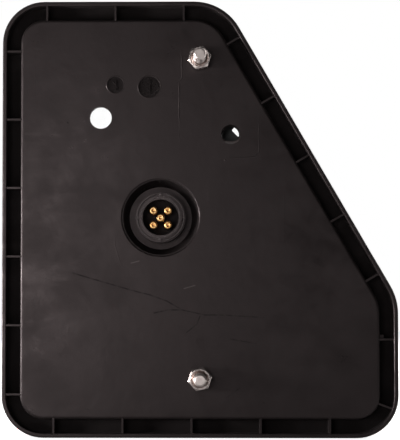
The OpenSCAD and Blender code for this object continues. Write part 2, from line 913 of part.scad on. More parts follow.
// A contact strip: a flat band with a tongue that stands up behind its bulb
module strip(pin, places, tongue_side) {
    last = places[len(places) - 1];
    color([0.8, 0.62, 0.3]) upright() difference() {
        union() {
            slab(carrier_front, carrier_front + strip_t) route(places, strip_w);
            translate([last[0] + tongue_side * strip_w / 2 - (tongue_side > 0 ? strip_t : 0),
                last[1] - strip_w / 2, -bulb_depth - tongue_past])
                cube([strip_t, strip_w, bulb_depth + tongue_past - carrier_front]);
        }
        at(plug + pin) slab(carrier_front - overlap, carrier_front + strip_t + overlap)
            circle(tail_r + fit);
    }
}

module strip_reverse() {
    strip(pin_places[2], reverse_route, -1);
}

module strip_indicator() {
    strip(pin_places[1], indicator_route, -1);
}

module strip_tail() {
    strip(pin_places[4], tail_route, 1);
}

module strip_stop() {
    strip(pin_places[3], stop_route, 1);
}

// The middle of the foot of a bulb's holder
function foot_place(b) = [b[0] + b[2] * (sleeve_x + sleeve_len / 2), b[1] + b[3] * foot_reach];

// The earth strip, seen flat: from the middle pin to the foot of each bulb holder
module earth_shape(w) {
    route([plug, [trunk_x, plug[1]]], w);
    for (b = [tail_bulb, reverse_bulb, indicator_bulb])
        route([foot_place(b), [trunk_x, foot_place(b)[1]]], w);
    route([[trunk_x, foot_place(tail_bulb)[1]], [trunk_x, foot_place(indicator_bulb)[1]]], w);
}

module strip_earth() {
    color([0.75, 0.57, 0.26]) upright() difference() {
        slab(earth_back, earth_back + strip_t) earth_shape(strip_w);
        at(plug) slab(earth_back - overlap, earth_back + strip_t + overlap)
            circle(tail_r + fit);
    }
}

// Moves to the tip of a bulb's cap, with x along the bulb and its holder's foot at +y
module at_bulb(b) {
    translate([b[0], b[1], 0]) flip([1, 0, 0], b[2]) flip([0, 1, 0], b[3]) children();
}

// Mirrors where the side is negative
module flip(across, side) {
    if (side > 0) children();
    else mirror(across) children();
}

// The pad on the carrier that a holder's foot stands on
module holder_pad() {
    translate([foot_x, cap_r + holder_t + pad_start, -earth_back + strip_t])
        cube([foot_w, foot_len - pad_short, earth_lift - strip_t + pad_sink]);
}

// A bulb holder: a bayonet sleeve on a bent foot
module holder() {
    inner = cap_r + fit;
    outer = inner + holder_t;
    difference() {
        union() {
            translate([sleeve_x, 0, -bulb_depth])
                rotate([0, 90, 0]) cylinder(sleeve_len, outer, outer);
            translate([foot_x, inner, -bulb_depth])
                cube([foot_w, holder_t, bulb_depth - earth_back + strip_t]);
            translate([foot_x, inner, -earth_back]) cube([foot_w, foot_len, strip_t]);
        }
        translate([sleeve_x - overlap, 0, -bulb_depth])
            rotate([0, 90, 0]) cylinder(sleeve_len + 2 * overlap, inner, inner);
        for (s = [-1, 1]) bayonet_slot(s, outer);
    }
}

// The bayonet slot that takes one lug of a cap
module bayonet_slot(s, outer) {
    w = lug_r + free / 2;
    translate([lug_x - w, -w, -bulb_depth + (s > 0 ? 0 : -outer - overlap)])
        cube([sleeve_len, 2 * w, outer + overlap]);
}

// A bayonet bulb, with its glass towards +x
module bulb(contacts) {
    glass_x = bulb_len - bulb_r;
    translate([0, 0, -bulb_depth]) {
        rotate([0, 90, 0]) {
            translate([0, 0, contact_h]) cylinder(cap_len - contact_h, cap_r, cap_r);
            translate([0, 0, cap_len])
                cylinder(glass_x - cap_len, glass_neck, glass_shoulder);
            translate([0, 0, glass_x]) sphere(bulb_r);
        }
        for (y = contacts) translate([0, y, 0])
            rotate([0, 90, 0]) cylinder(contact_len, contact_r, contact_r);
        for (s = [0, 180])
            translate([lug_x, 0, 0]) rotate([s, 0, 0])
                cylinder(cap_r + holder_t + lug_out, lug_r, lug_r);
    }
}

module holder_reverse() {
    color([0.72, 0.72, 0.7]) upright() at_bulb(reverse_bulb) holder();
}

module holder_indicator() {
    color([0.72, 0.72, 0.7]) upright() at_bulb(indicator_bulb) holder();
}

module holder_tail_stop() {
    color([0.72, 0.72, 0.7]) upright() at_bulb(tail_bulb) holder();
}

module bulb_reverse() {
    color([0.85, 0.88, 0.9]) upright() at_bulb(reverse_bulb) bulb([0]);
}

module bulb_indicator() {
    color([0.85, 0.88, 0.9]) upright() at_bulb(indicator_bulb) bulb([0]);
}

module bulb_tail_stop() {
    color([0.85, 0.88, 0.9]) upright() at_bulb(tail_bulb) bulb([-contact_step, contact_step]);
}

// The bayonet socket that the trailer's plug locks into
module connector_socket() {
    color([0.1, 0.1, 0.1]) upright() at(plug) difference() {
        union() {
            slab(lip_drop, web_front) circle(collar_lip_r);
            slab(lip_drop + lip_h, web_front) circle(collar_r);
            slab(flange_back, web_front) circle(flange_r);
            for (a = [0:90:270])
                rotate([0, 0, a])
                    translate([key_start, -key_t / 2, -lip_drop - lip_h - overlap])
                        cube([collar_r - key_start, key_t, lip_h + overlap]);
        }
        slab(0, web_back) circle(socket_r);
        for (q = pin_places)
            at(q) slab(web_back - overlap, web_front + overlap) circle(tail_r + fit);
        for (a = [0, 180])
            rotate([0, 0, a])
                for (s = [-1, 1])
                    at([collar_lip_r + key_hole_out, s * key_hole_side])
                        slab(0, lip_drop + lip_h + key_hole_depth) circle(key_hole_r);
    }
}

module connector_seal() {
    color([0.15, 0.15, 0.15]) upright() at(plug) slab(flange_back - plug_seal_t, flange_back)
        difference() {
            circle(flange_r);
            circle(collar_r + fit);
        }
}

// A turned pin with a rounded tip that has a small centre hole
module pin(place, tail) {
    color([0.85, 0.62, 0.25]) upright() at(plug + place) {
        rotate_extrude() difference() {
            union() {
                translate([0, -web_back]) square([pin_r, pin_len - tip_r]);
                translate([0, -web_back + pin_len - tip_r]) square([pin_r - tip_r, tip_r]);
                translate([pin_r - tip_r, -web_back + pin_len - tip_r]) circle(tip_r);
                translate([0, -web_front - tail]) square([tail_r, web_t + tail]);
            }
            translate([0, -web_back + pin_len - tip_hole_depth])
                square([tip_hole_r, tip_hole_depth + overlap]);
        }
    }
}

module pin_centre() {
    pin(pin_places[0], tail_out);
}

module pin_upper_left() {
    pin(pin_places[1], strip_t + tail_past);
}

module pin_upper_right() {
    pin(pin_places[2], strip_t + tail_past);
}

module pin_lower_left() {
    pin(pin_places[3], strip_t + tail_past);
}

module pin_lower_right() {
    pin(pin_places[4], strip_t + tail_past);
}

// A fixing stud: a bolt with a square neck, its head inside the housing
module stud() {
    color([0.75, 0.74, 0.72]) upright() {
        slab(stud_seat, stud_seat + stud_head_t) circle(stud_head_r);
        slab(0, stud_seat) square(stud_neck, center = true);
        cylinder(nut_gap, stud_r, stud_r);
        translate([0, 0, nut_gap]) cylinder(nut_h, stud_core_r, stud_core_r);
        translate([0, 0, nut_gap + nut_h])
            cylinder(stud_out - stud_chamfer - nut_gap - nut_h, stud_r, stud_r);
        translate([0, 0, stud_out - stud_chamfer])
            cylinder(stud_chamfer, stud_r, stud_r - stud_chamfer);
    }
}

// A hexagon nut with its corners chamfered at 30 degrees on both faces
module nut() {
    corner = nut_af / 2 / cos(30);
    waist_r = nut_af / 2 + nut_h / 2 / tan(30);
    color([0.8, 0.79, 0.76]) upright() translate([0, 0, nut_gap]) difference() {
        intersection() {
            rotate([0, 0, nut_turn]) cylinder(nut_h, corner, corner, $fn = 6);
            union() {
                cylinder(nut_h / 2, nut_af / 2, waist_r);
                translate([0, 0, nut_h / 2]) cylinder(nut_h / 2, waist_r, nut_af / 2);
            }
        }
        translate([0, 0, -overlap]) cylinder(nut_h + 2 * overlap, stud_core_r, stud_core_r);
    }
}

module move_to_stud(k) {
    translate([studs[k][0], 0, studs[k][1]]) children();
}

module stud_upper() {
    move_to_stud(0) stud();
}

module stud_lower() {
    move_to_stud(1) stud();
}

module nut_upper() {
    move_to_stud(0) nut();
}

module nut_lower() {
    move_to_stud(1) nut();
}

rear_housing();
lens_red();
lens_amber();
lens_clear();
triangle_reflector();
lens_seal();
lens_screws();
bulb_carrier();
carrier_screws();
connector_socket();
connector_seal();
pin_centre();
pin_upper_left();
pin_upper_right();
pin_lower_left();
pin_lower_right();
strip_earth();
strip_reverse();
strip_indicator();
strip_stop();
strip_tail();
holder_reverse();
holder_indicator();
holder_tail_stop();
bulb_reverse();
bulb_indicator();
bulb_tail_stop();
stud_upper();
stud_lower();
nut_upper();
nut_lower();
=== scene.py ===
import math

import bmesh
import bpy
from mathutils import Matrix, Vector


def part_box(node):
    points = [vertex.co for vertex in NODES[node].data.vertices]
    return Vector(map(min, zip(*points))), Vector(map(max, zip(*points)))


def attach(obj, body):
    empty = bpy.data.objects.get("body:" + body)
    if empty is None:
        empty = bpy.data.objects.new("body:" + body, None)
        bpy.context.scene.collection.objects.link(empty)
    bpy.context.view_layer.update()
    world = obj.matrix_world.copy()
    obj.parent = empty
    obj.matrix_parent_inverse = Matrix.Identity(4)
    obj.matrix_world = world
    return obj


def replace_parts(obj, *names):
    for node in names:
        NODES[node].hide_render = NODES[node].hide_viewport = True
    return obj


# A rear combination lamp on a white ground, seen from its back. x points to the right, y from
# the back plane into the lamp, and z up, with the origin half way between the two studs.

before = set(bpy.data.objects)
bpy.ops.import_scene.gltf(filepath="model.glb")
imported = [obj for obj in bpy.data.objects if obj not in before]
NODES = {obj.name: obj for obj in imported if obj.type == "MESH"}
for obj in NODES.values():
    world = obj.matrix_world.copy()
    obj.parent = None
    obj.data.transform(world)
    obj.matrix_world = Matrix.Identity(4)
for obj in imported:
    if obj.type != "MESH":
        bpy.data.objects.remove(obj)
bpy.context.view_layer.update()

MM = 0.001

# Places and sizes on the lamp, in mm and degrees; a depth is measured along y
PLUG_X, PLUG_Z = -18.5, 0.5
WELL_R = 19.5
BORE_R = 9.0
COLLAR_FACE = 1.0
STUD_X, STUD_Z = 0.0, 76.0
NUT_TURN, NUT_AF, NUT_HOLE = 13, 10.0, 3.04
PIN_TAIL_FROM, PIN_TAIL_R = 11.0, 1.0
LIP_X, LIP_Z, LIP_R = 15.0, 40.0, 4.7
LIP_START, LIP_END = 190, 350
GROOVE_FROM = 1.5
MARK_FLOOR = 0.3
WHITE_FROM, WHITE_FULL = 13.4, 13.8
CAP_LENGTH = 15.0
RIM_WIDE, RIM_EDGE = 1.0, 0.25
PRISM_PITCH, PRISM_TOP, PRISM_DEPTH = 3.4, 54.35, 2.1
WITNESS_HALF = 0.26

# Marks on the back plate, as (x, z): dark and pale scratches, and the mould marks with a radius
DARK_SCRATCHES = [
    [(-60.1, -26), (-53.9, -27.9), (-42.5, -31.2), (-32.5, -34.1), (-23.5, -36.4),
     (-15.5, -39.3), (-8.3, -43.5)],
    [(-21.6, -45), (-15, -43.5), (-8.3, -43.5), (2.5, -45.9), (10.6, -45.9), (30.5, -47.1)],
    [(0.2, -46.4), (-1.2, -50.2), (-6.5, -54.4)],
    [(12.4, -85.1), (19, -80.4)],
    [(14.6, -57.3), (26.7, -59.4)],
]
PALE_SCRATCHES = [
    [(-7.4, -33.4), (-2.2, -31.9)],
    [(-32.5, -21.3), (-28.7, -20.3)],
]
MOULD_MARKS = [(-40.0, 63.8, 4.0), (-23.8, 62.8, 5.2)]

# Fine raised lines that the joints of the mould left on the back plate, as (x, z) and height
WITNESS_LINES = [
    ([(-8.7, 81.5), (-8.4, 75.7), (-8.3, 67.2), (-9.7, 65.1), (-9.7, 56.5), (-9.5, 32.6)], 0.1),
    ([(-8.2, 67.3), (17.5, 67.2)], 0.09),
    ([(28.4, 48.8), (28.3, 31.6), (26.4, 29.2), (13.6, 28.7)], 0.09),
    ([(-78.5, 80.7), (-78.5, 56.6)], 0.05),
    ([(-40.6, -3.2), (-40.2, -12.7), (-37.8, -20.8), (-35.4, -24.6)], 0.035),
    ([(40.2, 13.4), (40.1, -12.7)], 0.1),
]
LONE_DOTS = [(-62.9, 45.6), (12.2, 27.8)]

# The same words end the names of several nodes
PIN_ENDINGS = ("centre", "upper_left", "upper_right", "lower_left", "lower_right")
HOLDER_ENDINGS = ("reverse", "indicator", "tail_stop")

# Noise lies mostly between these two values
NOISE_LOW, NOISE_HIGH = 0.3, 0.7

# Black plastic reflects a little red
WARM_TINT = (1.0, 0.82, 0.82, 1)

# The floor, in metres, and how bright it looks to the camera by itself
FLOOR_GLOW = 0.8
FLOOR_Z = -104 * MM
FLOOR_HALF = 2.5


# Node helpers

class Tree:
    """A material's node tree, with short calls for the nodes that the finishes share."""

    def __init__(self, name):
        self.mat = bpy.data.materials.new(name)
        self.mat.use_nodes = True
        self.nodes = self.mat.node_tree.nodes
        self.links = self.mat.node_tree.links
        self.nodes.clear()
        self.out = self.nodes.new("ShaderNodeOutputMaterial")
        self.coord = self.nodes.new("ShaderNodeTexCoord")
        self.place = self.coord.outputs["Object"]

    def link(self, source, target):
        self.links.new(source, target)

    def feed(self, value, socket):
        """Sets a socket to a number or colour, or links a node's output to it."""
        if isinstance(value, bpy.types.NodeSocket):
            self.link(value, socket)
        elif isinstance(value, (tuple, list)):
            n = len(socket.default_value)
            socket.default_value = tuple(value)[:n] if len(value) >= n else (*value, 1)
        else:
            socket.default_value = value

    def math(self, op, a, b=0.0, clamp=False):
        node = self.nodes.new("ShaderNodeMath")
        node.operation = op
        node.use_clamp = clamp
        self.feed(a, node.inputs[0])
        self.feed(b, node.inputs[1])
        return node.outputs[0]

    def vector(self, op, a, b):
        node = self.nodes.new("ShaderNodeVectorMath")
        node.operation = op
        self.feed(a, node.inputs[0])
        self.feed(b, node.inputs[1])
        return node.outputs["Value" if op in ("DOT_PRODUCT", "DISTANCE") else "Vector"]

    def axis(self, index):
        """The place along x, y or z, in metres."""
        node = self.nodes.new("ShaderNodeSeparateXYZ")
        self.feed(self.place, node.inputs[0])
        return node.outputs[index]

    def noise(self, scale, detail=3.0, rough=0.55, stretch=None, distortion=0.0):
        """Noise about the value 0.5; scale is in waves per metre, stretch a factor for x, y, z."""
        node = self.nodes.new("ShaderNodeTexNoise")
        node.inputs["Scale"].default_value = scale
        node.inputs["Detail"].default_value = detail
        node.inputs["Roughness"].default_value = rough
        node.inputs["Distortion"].default_value = distortion
        place = self.place
        if stretch:
            place = self.vector("MULTIPLY", place, stretch)
        self.link(place, node.inputs["Vector"])
        return node.outputs[0]

    def streaks(self, lines, half):
        """1 on any of the lines, rows of (x, z) in mm, and 0 further from them than half, in mm."""
        flat = self.vector("MULTIPLY", self.place, (1, 0, 1))
        nearest = None
        for line in lines:
            for (ax, az), (bx, bz) in zip(line, line[1:]):
                start, way = Vector((ax, 0, az)) * MM, Vector((bx - ax, 0, bz - az)) * MM
                off = self.vector("SUBTRACT", flat, tuple(start))
                along = self.vector("DOT_PRODUCT", off, tuple(way / way.length_squared))
                along = self.math("ADD", along, 0.0, clamp=True)
                foot = self.vector("MULTIPLY", self.join(along), tuple(way))
                d = self.vector("DISTANCE", off, foot)
                nearest = d if nearest is None else self.math("MINIMUM", nearest, d)
        return self.span(nearest, half * 0.4 * MM, half * MM, 1.0, 0.0)

    def join(self, value):
        """A vector with the same value three times."""
        node = self.nodes.new("ShaderNodeCombineXYZ")
        for socket in node.inputs:
            self.feed(value, socket)
        return node.outputs[0]

    def disc(self, cx, cz, radius, soft=0.3):
        """1 inside a circle seen along y, 0 outside it; numbers in mm."""
        flat = self.vector("MULTIPLY", self.place, (1, 0, 1))
        d = self.vector("DISTANCE", flat, (cx * MM, 0, cz * MM))
        return self.span(d, (radius - soft) * MM, radius * MM, 1.0, 0.0)

    def span(self, value, low, high, to_low=0.0, to_high=1.0):
        """Takes the range from low to high smoothly to another one."""
        node = self.nodes.new("ShaderNodeMapRange")
        node.interpolation_type = "SMOOTHSTEP"
        for socket, v in zip(node.inputs[:5], (value, low, high, to_low, to_high)):
            self.feed(v, socket)
        return node.outputs[0]

    def spread(self, noise, to_low=0.0, to_high=1.0):
        """Takes the range that noise usually fills to another one."""
        return self.span(noise, NOISE_LOW, NOISE_HIGH, to_low, to_high)

    def mix(self, factor, a, b):
        node = self.nodes.new("ShaderNodeMix")
        node.data_type = "RGBA"
        self.feed(factor, node.inputs[0])
        self.feed(a, node.inputs[6])
        self.feed(b, node.inputs[7])
        return node.outputs[2]

    def bump(self, height, strength, distance, below=None):
        """A bump, with its distance in metres, on top of the one below."""
        node = self.nodes.new("ShaderNodeBump")
        node.inputs["Strength"].default_value = strength
        node.inputs["Distance"].default_value = distance
        self.link(height, node.inputs["Height"])
        if below is not None:
            self.link(below, node.inputs["Normal"])
        return node.outputs[0]

    def shader(self, colour, rough, metal=0.0, normal=None, **more):
        """The Principled shader, as the surface; more sets its other sockets to constants."""
        node = self.nodes.new("ShaderNodeBsdfPrincipled")
        self.feed(colour, node.inputs["Base Color"])
        self.feed(rough, node.inputs["Roughness"])
        self.feed(metal, node.inputs["Metallic"])
        if normal is not None:
            self.link(normal, node.inputs["Normal"])
        for key, value in more.items():
            node.inputs[key.replace("_", " ")].default_value = value
        self.link(node.outputs[0], self.out.inputs["Surface"])
        return node


def dress(name, material):
    """Gives a CAD node its finish."""
    mesh = NODES[name].data
    mesh.materials.clear()
    mesh.materials.append(material)


def housing_black():
    """Black moulded plastic: satin grain, soft blotches, matt marks, a groove darkened with painted shade,
    and old scratches.
    """
    t = Tree("housing_black")

    # Tone and gloss of the moulded grain, with soft blotches and smears
    cloud = t.noise(16, 4, 0.6)
    blotch = t.noise(48, 4, 0.62, distortion=0.4)
    fine = t.noise(900, 2, 0.6)
    colour = t.mix(t.span(cloud, 0.35, 0.7), (0.0084, 0.0066, 0.0066, 1), (0.0102, 0.008, 0.0079, 1))
    rough = t.math("ADD", t.span(cloud, 0.3, 0.72, 0.365, 0.4), t.spread(fine, -0.012, 0.012))
    rough = t.math("ADD", rough, t.span(blotch, 0.36, 0.66, -0.06, 0.07))
    smear = t.noise(26, 5, 0.65, stretch=(1.0, 1.0, 2.2), distortion=0.8)
    rough = t.math("ADD", rough, t.span(smear, 0.4, 0.64, 0.06, -0.05))

    # Scratches and rubs, on the outermost face alone
    depth = t.axis(1)
    outer = t.span(depth, 0.1 * MM, 0.4 * MM, 1.0, 0.0)
    dark = t.math("MULTIPLY", t.streaks(DARK_SCRATCHES, 0.36), outer)
    dark = t.math("MULTIPLY", dark, t.span(t.noise(260, 2), 0.35, 0.6, 0.3, 1.0))
    pale = t.math("MULTIPLY", t.streaks(PALE_SCRATCHES, 0.3), outer)
    rubs = t.noise(420, 3, 0.7, stretch=(1.0, 1.0, 0.06), distortion=0.2)
    pale = t.math("MAXIMUM", pale, t.math("MULTIPLY", t.span(rubs, 0.7, 0.78, 0.0, 0.25), outer))
    colour = t.mix(dark, colour, (0.003, 0.0026, 0.0025, 1))
    colour = t.mix(pale, colour, (0.05, 0.043, 0.041, 1))
    rough = t.math("ADD", rough, t.math("MULTIPLY", dark, 0.5))

    # Painted shade darkens the groove from GROOVE_FROM in and makes it more matt; the mould marks are darker
    # and more matt by their own finish, and the well is left out
    groove_shade_and_mould_marks = t.span(depth, GROOVE_FROM * MM, (GROOVE_FROM + 1) * MM)
    groove_shade_and_mould_marks = t.math("MULTIPLY", groove_shade_and_mould_marks, t.math("SUBTRACT", 1.0, t.disc(PLUG_X, PLUG_Z, WELL_R)))
    for cx, cz, r in MOULD_MARKS:
        groove_shade_and_mould_marks = t.math("MAXIMUM", groove_shade_and_mould_marks, t.disc(cx, cz, r))
    colour = t.mix(groove_shade_and_mould_marks, colour, (0.0036, 0.003, 0.0029, 1))
    rough = t.math("ADD", rough, t.math("MULTIPLY", groove_shade_and_mould_marks, 0.55))

    grain = t.bump(t.noise(2600, 2, 0.5), 0.22, 0.00003)
    grain = t.bump(t.noise(70, 3, 0.5), 0.4, 0.0004, grain)
    grain = t.bump(t.noise(190, 4, 0.6, distortion=0.5), 0.4, 0.00012, grain)
    grain = t.bump(dark, -0.5, 0.00004, grain)
    t.shader(colour, rough, normal=grain, IOR=1.38, Specular_Tint=WARM_TINT)
    return t.mat


def plain(name, colour, rough, scale, **more):
    """A finish with mottled colour and roughness and a fine bump."""
    t = Tree(name)
    vary = 0.15
    cloud = t.noise(scale, 4, 0.6)
    dark = tuple(c * (1 - vary) for c in colour)
    light = tuple(c * (1 + vary) for c in colour)
    tone = t.mix(t.spread(cloud), dark, light)
    r = t.spread(cloud, rough * 0.85, rough * 1.15)
    normal = t.bump(t.noise(scale * 8, 2, 0.5), 0.3, 0.00002)
    t.shader(tone, r, normal=normal, **more)
    return t.mat


def lens(name, colour, tone, clear=0.85, ior=1.49):
    """Clear or tinted plastic, from one tone to another, that lets the share clear of the light in."""
    t = Tree(name)
    cloud = t.noise(30, 3, 0.5)
    c = t.mix(t.spread(cloud), colour, tone)
    r = t.spread(t.noise(300, 3, 0.5), 0.05, 0.1)
    normal = t.bump(t.noise(400, 2, 0.5), 0.15, 0.00005)
    t.shader(c, r, 0.0, normal, IOR=ior, Transmission_Weight=clear)
    return t.mat


def carrier_black():
    """Black plastic at the back, and white further in, towards the lens."""
    t = Tree("carrier_black")
    cloud = t.noise(90, 4, 0.6)
    black = t.mix(t.spread(cloud), (0.009, 0.0082, 0.008, 1), (0.013, 0.012, 0.0118, 1))
    white = t.mix(t.spread(cloud), (0.74, 0.74, 0.72, 1), (0.82, 0.82, 0.8, 1))
    in_front = t.span(t.axis(1), WHITE_FROM * MM, WHITE_FULL * MM)
    colour = t.mix(in_front, black, white)
    rough = t.spread(t.noise(300, 3, 0.5), 0.4, 0.52)
    peel = t.bump(t.noise(700, 2, 0.5), 0.3, 0.00004)
    t.shader(colour, rough, normal=peel, IOR=1.5)
    return t.mat


def socket_black():
    """Black connector plastic, glossier than the housing, scuffed on the edges that plugs touch, and
    darkened with painted shade inside the bore and further down.
    """
    t = Tree("socket_black")
    cloud = t.noise(240, 4, 0.6)
    colour = t.mix(t.span(cloud, 0.35, 0.7), (0.0082, 0.0064, 0.0064, 1), (0.0108, 0.0085, 0.0084, 1))
    rough = t.spread(t.noise(420, 3, 0.6), 0.27, 0.36)
    depth = t.axis(1)
    lip = t.math("MULTIPLY", t.span(depth, 1.1 * MM, 1.5 * MM, 1.0, 0.0),
                 t.span(t.noise(800, 3, 0.6), 0.5, 0.62))
    colour = t.mix(t.math("MULTIPLY", lip, 0.4), colour, (0.06, 0.052, 0.05, 1))
    # Painted shade: inside the bore from 2 mm down, and everywhere from 4 mm down, the plastic is made near
    # black and more matt
    painted_deep_shade = t.math("MULTIPLY", t.disc(PLUG_X, PLUG_Z, BORE_R), t.span(depth, 2 * MM, 3.5 * MM))
    painted_sunk_shade = t.span(depth, 4 * MM, 6 * MM)
    painted_deep_shade = t.math("MAXIMUM", painted_deep_shade, t.math("MULTIPLY", painted_sunk_shade, 0.85))
    colour = t.mix(painted_deep_shade, colour, (0.002, 0.0017, 0.0017, 1))
    rough = t.math("ADD", rough, t.math("MULTIPLY", painted_deep_shade, 0.5))
    normal = t.bump(t.noise(1800, 2, 0.5), 0.2, 0.00003)
    t.shader(colour, rough, normal=normal, IOR=1.5, Specular_Tint=WARM_TINT)
    return t.mat


def metal(name, low, high, rough, scale=500, stain=(0.2, 0.15, 0.11, 1), stained=0.66, brushed=None):
    """Plated or drawn metal with tone and gloss that vary, fine lines and a few dull stains."""
    t = Tree(name)
    cloud = t.noise(scale, 4, 0.6)
    tone = t.mix(t.spread(cloud), low, high)
    spots = t.span(t.noise(scale * 0.7, 4, 0.7, distortion=0.6), stained, stained + 0.08, 0.0, 0.55)
    tone = t.mix(spots, tone, stain)
    r = t.math("ADD", t.spread(cloud, rough * 0.8, rough * 1.2), t.math("MULTIPLY", spots, 0.25))
    normal = t.bump(t.noise(scale * 6, 2, 0.5, stretch=brushed or (1, 1, 1)), 0.3, 0.00002)
    normal = t.bump(cloud, 0.15, 0.00008, normal)
    t.shader(tone, r, 1.0, normal)
    return t.mat


def lamp_bulb(name, tip, way):
    """A bulb along x: a nickel cap with a tin contact from the place tip, in mm, and then clear glass.

    way is 1 where the bulb runs from its tip to +x, and -1 where it runs to -x.
    """
    t = Tree(name)
    x = t.math("MULTIPLY", t.math("SUBTRACT", t.axis(0), tip * MM), way / MM)
    cloud = t.noise(700, 3, 0.6)
    nickel = t.mix(t.spread(cloud), (0.5, 0.46, 0.38, 1), (0.66, 0.61, 0.52, 1))
    nickel = t.mix(t.span(x, 1.4, 1.6, 1.0, 0.0), nickel, (0.42, 0.41, 0.4, 1))
    rings = t.math("SINE", t.math("MULTIPLY", x, 9.0))
    cap = t.nodes.new("ShaderNodeBsdfPrincipled")
    t.feed(nickel, cap.inputs["Base Color"])
    t.feed(t.spread(cloud, 0.24, 0.34), cap.inputs["Roughness"])
    cap.inputs["Metallic"].default_value = 1.0
    t.link(t.bump(rings, 0.12, 0.00004), cap.inputs["Normal"])
    clear = t.nodes.new("ShaderNodeBsdfPrincipled")
    glass = t.mix(t.spread(cloud), (0.95, 0.96, 0.96, 1), (0.99, 0.99, 0.98, 1))
    t.feed(glass, clear.inputs["Base Color"])
    t.feed(t.spread(cloud, 0.02, 0.05), clear.inputs["Roughness"])
    clear.inputs["Transmission Weight"].default_value = 1.0
    clear.inputs["IOR"].default_value = 1.15
    both = t.nodes.new("ShaderNodeMixShader")
    t.link(t.span(x, CAP_LENGTH - 0.15, CAP_LENGTH + 0.15), both.inputs[0])
    t.link(cap.outputs[0], both.inputs[1])
    t.link(clear.outputs[0], both.inputs[2])
    t.link(both.outputs[0], t.out.inputs["Surface"])
    return t.mat


def reflector(name, colour, tone):
    """Clear red plastic, darkened with painted shade down between its prisms and lighter towards their tips,
    along a ragged line.
    """
    t = Tree(name)
    y = t.math("ADD", t.axis(1), t.spread(t.noise(260, 3, 0.6), -0.2 * MM, 0.2 * MM))
    # Painted shade and highlight: dark red low between the prisms, light red at their tips
    c = t.mix(t.span(y, 52.5 * MM, 54.5 * MM), colour, tone)
    r = t.spread(t.noise(300, 3, 0.5), 0.06, 0.13)
    normal = t.bump(t.noise(500, 3, 0.5), 0.15, 0.00004)
    t.shader(c, r, 0.0, normal, IOR=1.49, Transmission_Weight=0.3)
    return t.mat


# Finishes of the CAD nodes, and those that the added pieces share with them

black = housing_black()
dress("rear_housing", black)
dress("lens_red", lens("lens_red", (0.75, 0.01, 0.012, 1), (0.65, 0.006, 0.01, 1)))
dress("lens_amber", lens("lens_amber", (0.95, 0.3, 0.02, 1), (0.9, 0.25, 0.015, 1)))
dress("lens_clear", lens("lens_clear", (0.995, 0.995, 0.995, 1), (0.985, 0.99, 0.99, 1), clear=1.0, ior=1.3))
# The dark red is painted shade between the prisms, and the light red is a painted highlight on their tips
red_prisms = reflector("reflector_red", (0.26, 0.003, 0.004, 1), (0.85, 0.02, 0.02, 1))
dress("triangle_reflector", red_prisms)
rubber = plain("seal_rubber", (0.015, 0.015, 0.015), 0.7, scale=500)
dress("lens_seal", rubber)
dress("connector_seal", rubber)
steel = metal("screw_steel", (0.5, 0.49, 0.47, 1), (0.6, 0.58, 0.55, 1), 0.3, 400)
for n in ("lens_screws", "carrier_screws"):
    dress(n, steel)
zinc = metal("zinc_steel", (0.58, 0.5, 0.47, 1), (0.67, 0.59, 0.56, 1), 0.4, 420, stained=0.74)
for n in ("stud_upper", "stud_lower"):
    dress(n, zinc)
nut = metal("nut_steel", (0.56, 0.48, 0.45, 1), (0.66, 0.58, 0.55, 1), 0.24, 420, stained=0.74)
for n in ("nut_upper", "nut_lower"):
    dress(n, nut)
dress("bulb_carrier", carrier_black())
dress("connector_socket", socket_black())
# Painted highlight: a black about three times lighter than the housing's, so that the collar's beads and the
# vent hole's lip look lit
highlight_black = plain("highlight_black", (0.03, 0.021, 0.02), 0.34, scale=900, IOR=1.55)
brass = metal("brass_pins", (0.74, 0.38, 0.12, 1), (0.9, 0.56, 0.25, 1), 0.27, 700, (0.4, 0.16, 0.05, 1))
for n in PIN_ENDINGS:
    dress("pin_" + n, brass)
strip = metal("brass_strips", (0.52, 0.36, 0.14, 1), (0.66, 0.47, 0.2, 1), 0.32, 300,
              (0.3, 0.18, 0.08, 1), brushed=(0.1, 1, 1))
for n in ("earth", "reverse", "indicator", "stop", "tail"):
    dress("strip_" + n, strip)
holder = metal("holder_steel", (0.45, 0.44, 0.42, 1), (0.58, 0.56, 0.53, 1), 0.32, 300)
for n in HOLDER_ENDINGS:
    dress("holder_" + n, holder)
for n, tip, way in zip(HOLDER_ENDINGS, (12.5, -6.0, -26.0), (-1, -1, 1)):
    dress("bulb_" + n, lamp_bulb("bulb_" + n, tip, way))


# Pieces of mesh that the scene adds to the frame

def add_piece(name, shells, material, smooth=True):
    """A mesh in millimetres becomes a piece that rides on the lamp."""
    mesh = bpy.data.meshes.new(name)
    mesh.from_pydata([tuple(c * MM for c in v) for v in shells.verts], [], shells.faces)
    bm = bmesh.new()
    bm.from_mesh(mesh)
    bmesh.ops.recalc_face_normals(bm, faces=bm.faces)
    bm.to_mesh(mesh)
    bm.free()
    mesh.materials.append(material)
    obj = bpy.data.objects.new(name, mesh)
    bpy.context.scene.collection.objects.link(obj)
    if smooth:
        mesh.shade_smooth()
        mesh.set_sharp_from_angle(angle=math.radians(32))
    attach(obj, "root")
    return obj


class Shells:
    """Collects closed shells into one list of points and faces."""

    def __init__(self):
        self.verts, self.faces = [], []

    def add(self, verts, faces):
        """Adds one shell, whose faces count its own points from 0."""
        start = len(self.verts)
        self.verts += verts
        self.faces += [tuple(start + i for i in f) for f in faces]

    def rings(self, rings):
        """Skins a row of point rings of the same length, and closes both ends."""
        count = len(rings[0])
        verts = [p for ring in rings for p in ring]
        faces = []
        for r in range(len(rings) - 1):
            for k in range(count):
                a, b = r * count + k, r * count + (k + 1) % count
                faces.append((a, b, b + count, a + count))
        faces.append(tuple(range(count)))
        faces.append(tuple((len(rings) - 1) * count + k for k in range(count)))
        self.add(verts, faces)


